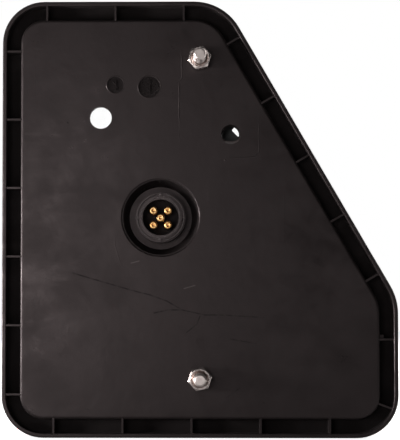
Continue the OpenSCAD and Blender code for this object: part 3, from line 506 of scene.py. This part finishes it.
def band(shells, rings):
    """Skins rings into a closed loop, such as a nut or a washer with a hole."""
    count, rows = len(rings[0]), len(rings)
    verts = [p for ring in rings for p in ring]
    faces = []
    for r in range(rows):
        for k in range(count):
            a, b = r * count + k, r * count + (k + 1) % count
            c, d = (r + 1) % rows * count + (k + 1) % count, (r + 1) % rows * count + k
            faces.append((a, b, c, d))
    shells.add(verts, faces)


def arc_points(cx, cz, r, start, end, step=6):
    """Points (x, z) on an arc, from one angle in degrees to another."""
    return [(cx + r * math.cos(math.radians(a)), cz + r * math.sin(math.radians(a)))
            for a in range(start, end + 1, step)]


def ring_y(cx, cz, y, radius, count):
    """A circle across the y axis; radius may be a function of the angle."""
    out = []
    for k in range(count):
        a = 2 * math.pi * k / count
        r = radius(a) if callable(radius) else radius
        out.append((cx + r * math.cos(a), y, cz + r * math.sin(a)))
    return out


def rounded_square(half, soft):
    """Radius of a square with rounded corners, as a function of the angle; soft makes it smaller."""
    power = 12.0

    def radius(a):
        c, d = abs(math.cos(a)), abs(math.sin(a))
        return half / (c ** power + d ** power) ** (1 / power) - soft
    return radius


def stud(name, node, cx, cz):
    """A thread-rolled stud with a square neck under its head, and a worn chamfered tip."""
    low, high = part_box(node)
    tip, head_end = low[1] / MM, high[1] / MM
    count, rows_per_turn = 40, 8
    crest, root, pitch = 3.0, 2.5, 1.0
    chamfer, chamfer_r = 0.7, 2.3
    flank = 3.1
    thread_start, thread_end = 0.12, -0.2
    neck_half, neck_end = 3.2, 6.0
    head_r = 6.5

    def thread(y):
        limit = chamfer_r + (y - tip) / chamfer * (crest - chamfer_r)

        def radius(a):
            phase = (y / pitch + a / (2 * math.pi)) % 1.0
            rise = min(1.0, max(0.0, flank / 2 - flank * abs(phase - 0.5)))
            return min(limit, root + (crest - root) * rise)
        return radius

    rows = [(tip, 2.05), (tip, 2.2)]
    steps = int(round((thread_end - tip - thread_start) / (pitch / rows_per_turn)))
    for i in range(steps + 1):
        y = tip + thread_start + i * pitch / rows_per_turn
        rows.append((y, thread(y)))
    rows += [(-0.15, crest), (0.0, crest)]
    rows += [(0.02, rounded_square(neck_half, 0.25)), (0.25, rounded_square(neck_half, 0.0))]
    rows += [(neck_end - 0.02, rounded_square(neck_half, 0.0)), (neck_end, head_r - 0.2)]
    rows += [(neck_end + 0.2, head_r), (head_end - 0.7, head_r)]
    rows += [(head_end - 0.2, head_r - 0.4), (head_end, head_r - 1.1)]
    shells = Shells()
    shells.rings([ring_y(cx, cz, y, radius, count) for y, radius in rows])
    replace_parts(add_piece(name, shells, zinc), node)


stud("stud_upper_threaded", "stud_upper", STUD_X, STUD_Z)
stud("stud_lower_threaded", "stud_lower", STUD_X, -STUD_Z)


def pin(name, node):
    """A turned brass pin: rounded tip with a centre hole, as long as the plain one it stands for."""
    low, high = (Vector(c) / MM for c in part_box(node))
    cx, cz, r = (low.x + high.x) / 2, (low.z + high.z) / 2, (high.x - low.x) / 2
    drawn_r, count = 2.0, 40
    # Radius at the size drawn, and distance from the tip
    profile = [(0.05, 1.05), (0.42, 0.95), (0.5, 0.34), (0.64, 0.1), (0.9, 0.0), (1.3, 0.02), (1.6, 0.1),
               (1.82, 0.26), (1.95, 0.5), (2.0, 0.85), (2.0, 6.0)]
    rows = [(low.y + d, p * (r / drawn_r)) for p, d in profile]
    rows += [(PIN_TAIL_FROM, r), (PIN_TAIL_FROM, PIN_TAIL_R), (high.y, PIN_TAIL_R)]
    shells = Shells()
    shells.rings([ring_y(cx, cz, y, radius, count) for y, radius in rows])
    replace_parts(add_piece(name, shells, brass), node)


for n in PIN_ENDINGS:
    pin("pin_" + n + "_turned", "pin_" + n)


def hex_nut(name, node):
    """A plated nut with a countersunk hole, a turned face, chamfers and broken edges."""
    low, high = (Vector(c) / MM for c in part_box(node))
    cx, cz = (low.x + high.x) / 2, (low.z + high.z) / 2
    out, back = low.y, high.y

    def hexagon(less=0.0, cone=99.0):
        """A hexagon smaller by less, cut off by a cone of that radius."""
        def radius(a):
            turned = (a - math.radians(NUT_TURN)) % (math.pi / 3) - math.pi / 6
            return min((NUT_AF / 2 - less) / math.cos(turned), cone)
        return radius

    rows = [(out + 0.55, NUT_HOLE), (out + 0.1, 3.75), (out, 3.95), (out, 4.5)]
    rows += [(out + 0.12 * k, hexagon(0.32, 4.75 + 0.2 * k)) for k in range(5)]
    rows += [(out + 0.72, hexagon(0.0, 5.75)), (out + 1.0, hexagon()), (back - 0.7, hexagon())]
    rows += [(back - 0.35, hexagon(0.0, 5.4)), (back, hexagon(0.3, 4.8))]
    rows += [(back, 3.9), (back - 0.5, NUT_HOLE)]
    shells = Shells()
    band(shells, [ring_y(cx, cz, y, r, 96) for y, r in rows])
    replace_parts(add_piece(name, shells, nut), node)


hex_nut("nut_upper_chamfered", "nut_upper")
hex_nut("nut_lower_chamfered", "nut_lower")


def line_shell(shells, line, half, height, face=0.0, sink=0.03):
    """A low ridge along a line of (x, z) on a face at the depth face, closed all round."""
    ridge, shoulder, end_taper = 0.45, 0.15, 0.35
    rings = []
    for i, (x, z) in enumerate(line):
        before = Vector(line[max(i - 1, 0)])
        after = Vector(line[min(i + 1, len(line) - 1)])
        way = (after - before).normalized()
        side = Vector((-way.y, way.x)) * half
        taper = end_taper if i in (0, len(line) - 1) else 1.0
        rings.append([
            (x - side.x * taper, face + sink, z - side.y * taper),
            (x - side.x * taper, face - height * shoulder, z - side.y * taper),
            (x - side.x * ridge * taper, face - height * taper, z - side.y * ridge * taper),
            (x + side.x * ridge * taper, face - height * taper, z + side.y * ridge * taper),
            (x + side.x * taper, face - height * shoulder, z + side.y * taper),
            (x + side.x * taper, face + sink, z + side.y * taper),
        ])
    shells.rings(rings)


lines = Shells()
for row, height in WITNESS_LINES:
    line_shell(lines, row, WITNESS_HALF, height)
for cx, cz, r in MOULD_MARKS:
    line_shell(lines, arc_points(cx, cz, r + 0.25, 20, 380, 12), 0.22, 0.1)
add_piece("witness_lines", lines, black, smooth=False)


def dome(shells, cx, cz, y, radius, height):
    """A small low dome that rises towards -y from the depth y."""
    count, levels = 14, 5
    rings = [ring_y(cx, cz, y + 0.05, radius, count)]
    for k in range(levels):
        a = math.pi / 2 * k / levels
        rings.append(ring_y(cx, cz, y - height * math.sin(a), radius * math.cos(a), count))
    rings.append(ring_y(cx, cz, y - height, radius * 0.08, count))
    shells.rings(rings)


def stroke(shells, cx, cz, half_length, angle, half, y, height):
    """A raised straight stroke with a ridge on the floor of a mark."""
    way = Vector((math.cos(math.radians(angle)), math.sin(math.radians(angle))))
    side = Vector((-way.y, way.x)) * half
    rings = []
    for k in (-1.0, -0.85, 0.85, 1.0):
        at = Vector((cx, cz)) + way * half_length * k
        top = height if abs(k) < 0.9 else 0.02
        rings.append([
            (at.x - side.x, y + 0.05, at.y - side.y),
            (at.x, y - top, at.y),
            (at.x + side.x, y + 0.05, at.y + side.y),
        ])
    shells.rings(rings)


dots = Shells()
(small_x, small_z), (large_x, large_z) = (mark[:2] for mark in MOULD_MARKS)
stroke(dots, small_x, small_z, 2.3, 125, 0.45, MARK_FLOOR, 0.27)
stroke(dots, small_x, small_z - 2.5, 1.6, 0, 0.25, MARK_FLOOR, 0.15)
stroke(dots, large_x, large_z + 0.4, 2.0, 60, 0.3, MARK_FLOOR, 0.2)

# Rings of uneven dots in the larger mark: radius, number of dots, turn in degrees
for ring_r, many, turn in ((1.6, 6, 10), (2.9, 11, 25), (4.2, 17, 5)):
    for k in range(many):
        a = math.radians(turn + 360 * k / many + 7 * math.sin(5 * k))
        dome(dots, large_x + ring_r * math.cos(a), large_z + ring_r * math.sin(a), MARK_FLOOR,
             0.26 + 0.1 * math.sin(3.7 * k), 0.2)
for cx, cz in LONE_DOTS:
    dome(dots, cx, cz, 0.0, 0.45, 0.1)
add_piece("mould_dots", dots, black)


# Collar of the socket: two fine beads round its face, in two halves each, and a rib at the top
# and the bottom between them, all in a lighter black that is a painted highlight
collar = Shells()
BEAD_H = 0.3
RIB_X = PLUG_X - 0.5
for r, half in ((9.3, 0.18), (11.1, 0.22)):
    for start, end in ((100, 260), (280, 440)):
        line_shell(collar, arc_points(PLUG_X, PLUG_Z, r, start, end), half, BEAD_H, COLLAR_FACE)
for way in (1, -1):
    rib = [(RIB_X, PLUG_Z + way * 9.9), (RIB_X, PLUG_Z + way * 11.7)]
    line_shell(collar, rib, 0.28, BEAD_H, COLLAR_FACE)
add_piece("collar_beads", collar, highlight_black)

# Thin lip along the lower half of the vent hole, widest at its lowest point, in a lighter black that is a
# painted highlight
lip = Shells()
rings = []
for a in range(LIP_START, LIP_END + 1, 8):
    c, d = math.cos(math.radians(a)), math.sin(math.radians(a))
    along = (a - LIP_START) * 180 / (LIP_END - LIP_START)
    wide = 0.25 + 1.15 * max(0.0, math.sin(math.radians(along))) ** 1.5
    section = ((0.15, 0.3), (-0.1, 0.22), (-wide, 0.42), (-wide, 0.8), (0.2, 1.1))
    rings.append([(LIP_X + (LIP_R + out) * c, y, LIP_Z + (LIP_R + out) * d) for out, y in section])
lip.rings(rings)
add_piece("hole_lip", lip, highlight_black)


# Triangle reflector: a rim round each edge, and a field of three-sided prisms between them

def outline_loops(mesh, level):
    """The closed outlines of the flat face that lies at y = level, as rows of (x, z) in mm."""
    bm = bmesh.new()
    bm.from_mesh(mesh)
    flat = {f for f in bm.faces if f.normal.y > 0.9 and abs(f.calc_center_median().y - level) < 1e-5}
    ways = {}
    for f in flat:
        for loop in f.loops:
            if sum(g in flat for g in loop.edge.link_faces) == 1:
                ways[loop.vert.index] = loop.link_loop_next.vert.index
    places = {v.index: (v.co.x / MM, v.co.z / MM) for v in bm.verts}
    loops = []
    while ways:
        at = next(iter(ways))
        row = []
        while at in ways:
            row.append(places[at])
            at = ways.pop(at)
        loops.append(row)
    bm.free()
    return loops


def inset(row, d):
    """Moves a closed outline to its left by d, seen with x to the right and z up."""
    out = []
    for i, p in enumerate(row):
        before, after = Vector(row[i - 1]), Vector(row[(i + 1) % len(row)])
        a, b = (Vector(p) - before).normalized(), (after - Vector(p)).normalized()
        na, nb = Vector((-a.y, a.x)), Vector((-b.y, b.x))
        mid = (na + nb).normalized()
        out.append(tuple(Vector(p) + mid * d / max(0.4, mid.dot(na))))
    return out


def edge_distance(x, z, row):
    """Distance from a point to the nearest edge of a closed outline."""
    p = Vector((x, z))
    best = 1e9
    for i in range(len(row)):
        a, b = Vector(row[i - 1]), Vector(row[i])
        w = b - a
        k = max(0.0, min(1.0, (p - a).dot(w) / max(w.length_squared, 1e-9)))
        best = min(best, (p - a - w * k).length)
    return best


def inside(x, z, row):
    """Whether a point lies inside a closed outline."""
    hit = False
    for i in range(len(row)):
        (ax, az), (bx, bz) = row[i - 1], row[i]
        if (az > z) != (bz > z) and x < ax + (z - az) / (bz - az) * (bx - ax):
            hit = not hit
    return hit


def triangle_outlines(level):
    """The outer outline of the reflector and that of the hole in it, at a depth in mm."""
    rows = outline_loops(NODES["triangle_reflector"].data, level * MM)
    area = [sum(p[0] * q[1] - q[0] * p[1] for p, q in zip(row, row[1:] + row[:1])) for row in rows]
    return (rows[0], rows[1]) if abs(area[0]) > abs(area[1]) else (rows[1], rows[0])


def rim(shells, row, way, base, top):
    """A rim with a bevelled edge along an outline, from the depth base to the depth top."""
    inner, edge = inset(row, way * RIM_WIDE), inset(row, way * RIM_EDGE)
    rows = ((inner, top), (edge, top), (row, top - RIM_EDGE), (row, base), (inner, base))
    band(shells, [[(x, y, z) for x, z in loop] for loop, y in rows])


def prism(shells, cx, cz, side, base):
    """A six-sided foot whose top is three faces that meet at a point, like the corner of a cube."""
    step = PRISM_DEPTH / 2
    ring = []
    for k in range(6):
        a = math.radians(60 * k + 30)
        ring.append((cx + side * math.cos(a), cz + side * math.sin(a)))
    foot = [(x, base + 0.02, z) for x, z in ring]
    top = [(x, PRISM_TOP - step * (1 + k % 2), z) for k, (x, z) in enumerate(ring)]
    faces = [tuple(range(6))] + [(k, (k + 1) % 6, (k + 1) % 6 + 6, k + 6) for k in range(6)]
    faces += [(12, 6 + k, 6 + (k + 1) % 6, 6 + (k + 2) % 6) for k in (1, 3, 5)]
    shells.add(foot + top + [(cx, PRISM_TOP, cz)], faces)


def triangle():
    """The reflector: a rim along both outlines, and prisms wherever a whole one fits between them."""
    low, high = (Vector(c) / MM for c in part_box("triangle_reflector"))
    outer, hole = triangle_outlines(high.y)
    left = 1 if inside(*inset(outer, 0.3)[0], outer) else -1
    hole_left = 1 if not inside(*inset(hole, 0.3)[0], hole) else -1
    shells = Shells()
    rim(shells, outer, left, low.y, high.y)
    rim(shells, hole, hole_left, low.y, high.y)
    side = PRISM_PITCH / math.sqrt(3)
    room = RIM_WIDE + side * 0.62
    columns = range(int(low.x / PRISM_PITCH) - 1, int(high.x / PRISM_PITCH) + 2)
    for j in range(int(low.z / (1.5 * side)) - 1, int(high.z / (1.5 * side)) + 2):
        for i in columns:
            cx, cz = (i + (j % 2) / 2) * PRISM_PITCH, j * 1.5 * side
            if not inside(cx, cz, outer) or inside(cx, cz, hole):
                continue
            if min(edge_distance(cx, cz, outer), edge_distance(cx, cz, hole)) >= room:
                prism(shells, cx, cz, side, low.y)
    piece = add_piece("triangle_reflector_prisms", shells, red_prisms, smooth=False)
    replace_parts(piece, "triangle_reflector")


triangle()


# Floor and backdrop

def stage_plane(name, corners, material):
    """A flat face, in metres, that belongs to the stage and not to the lamp."""
    mesh = bpy.data.meshes.new(name)
    mesh.from_pydata(corners, [], [(0, 1, 2, 3)])
    mesh.materials.append(material)
    obj = bpy.data.objects.new(name, mesh)
    bpy.context.scene.collection.objects.link(obj)


def floor_pale():
    """A pale floor: to the camera it glows nearly white, so that only the shadow shows."""
    t = Tree("floor_pale")
    cloud = t.noise(3, 3, 0.5)
    colour = t.mix(cloud, (0.78, 0.78, 0.78, 1), (0.82, 0.82, 0.82, 1))
    matt = t.shader(colour, 0.7)
    glow = t.nodes.new("ShaderNodeEmission")
    glow.inputs["Color"].default_value = (1, 1, 1, 1)
    path = t.nodes.new("ShaderNodeLightPath")
    seen = t.math("MAXIMUM", path.outputs["Is Camera Ray"], path.outputs["Is Transmission Ray"])
    t.link(t.math("MULTIPLY", seen, FLOOR_GLOW), glow.inputs["Strength"])
    both = t.nodes.new("ShaderNodeAddShader")
    t.link(matt.outputs[0], both.inputs[0])
    t.link(glow.outputs[0], both.inputs[1])
    t.link(both.outputs[0], t.out.inputs["Surface"])
    return t.mat


FLOOR_CORNERS = [(x * FLOOR_HALF, y * FLOOR_HALF, FLOOR_Z) for x, y in ((-1, -1), (1, -1), (1, 1), (-1, 1))]
stage_plane("floor", FLOOR_CORNERS, floor_pale())


# World: white to the camera and through glass, and a dim light on the side of the lamp's back

def make_world(dim, fill, dim_until=-0.1, fill_from=0.35):
    """White where it is seen. As a light it is dim on the -y side and stronger on the +y side."""
    world = bpy.data.worlds.new("studio")
    bpy.context.scene.world = world
    world.use_nodes = True
    nodes, links = world.node_tree.nodes, world.node_tree.links
    nodes.clear()
    out = nodes.new("ShaderNodeOutputWorld")
    white = nodes.new("ShaderNodeBackground")
    white.inputs["Color"].default_value = (1, 1, 1, 1)
    white.inputs["Strength"].default_value = 1.0
    soft = nodes.new("ShaderNodeBackground")
    soft.inputs["Color"].default_value = (0.98, 0.99, 1, 1)
    path = nodes.new("ShaderNodeLightPath")
    coord = nodes.new("ShaderNodeTexCoord")
    parts = nodes.new("ShaderNodeSeparateXYZ")
    links.new(coord.outputs["Generated"], parts.inputs[0])
    ramp = nodes.new("ShaderNodeMapRange")
    ramp.interpolation_type = "SMOOTHSTEP"
    for socket, value in zip(ramp.inputs[1:5], (dim_until, fill_from, dim, fill)):
        socket.default_value = value
    links.new(parts.outputs[1], ramp.inputs[0])
    links.new(ramp.outputs[0], soft.inputs["Strength"])
    through = nodes.new("ShaderNodeMath")
    through.operation = "MAXIMUM"
    links.new(path.outputs["Is Camera Ray"], through.inputs[0])
    links.new(path.outputs["Is Transmission Ray"], through.inputs[1])
    mix = nodes.new("ShaderNodeMixShader")
    links.new(through.outputs[0], mix.inputs[0])
    links.new(soft.outputs[0], mix.inputs[1])
    links.new(white.outputs[0], mix.inputs[2])
    links.new(mix.outputs[0], out.inputs["Surface"])


make_world(dim=0.05, fill=0.4)


# Lamps

def area_lamp(name, place, size, power):
    """A rectangular lamp, in metres and watts, that looks at the origin."""
    data = bpy.data.lights.new(name, "AREA")
    data.shape = "RECTANGLE"
    data.size, data.size_y = size
    data.energy = power
    obj = bpy.data.objects.new(name, data)
    bpy.context.scene.collection.objects.link(obj)
    obj.location = place
    obj.rotation_mode = "QUATERNION"
    obj.rotation_quaternion = (-Vector(place)).to_track_quat("-Z", "Y")


WIDE_LAMP = (0.26, 0.13)
area_lamp("side", (-0.6755, -0.181, -0.03), WIDE_LAMP, 7.0)
area_lamp("low", (-0.262, -0.6484, -0.03), WIDE_LAMP, 0.8)
area_lamp("near", (-0.144, -0.6777, 0.1), WIDE_LAMP, 0.27)
area_lamp("front", (-0.4, 1.2, 0.7), (0.9, 0.9), 22.0)
area_lamp("right", (1.1, 0.55, 0.45), (0.6, 0.6), 12.0)


# Camera, as the photograph's outline, nuts and stud tips place it

def make_camera(place, pan, tilt, focal_px, shift, frame_px=440, sensor=36.0):
    """A camera from a place in metres, angles in degrees and a focal length in pixels."""
    data = bpy.data.cameras.new("camera")
    data.sensor_fit = "AUTO"
    data.sensor_width = sensor
    data.lens = focal_px * sensor / frame_px
    data.shift_x, data.shift_y = shift
    data.clip_start, data.clip_end = 0.01, 20
    obj = bpy.data.objects.new("camera", data)
    bpy.context.scene.collection.objects.link(obj)
    obj.location = place
    obj.rotation_euler = (math.radians(90 + tilt), 0, math.radians(-pan))
    bpy.context.scene.camera = obj


make_camera((-0.0117, -0.6761, -0.0395), pan=-0.76, tilt=2.39, focal_px=1424.7, shift=(0.10, 0.05))

scene = bpy.context.scene
scene.view_settings.view_transform = "Standard"
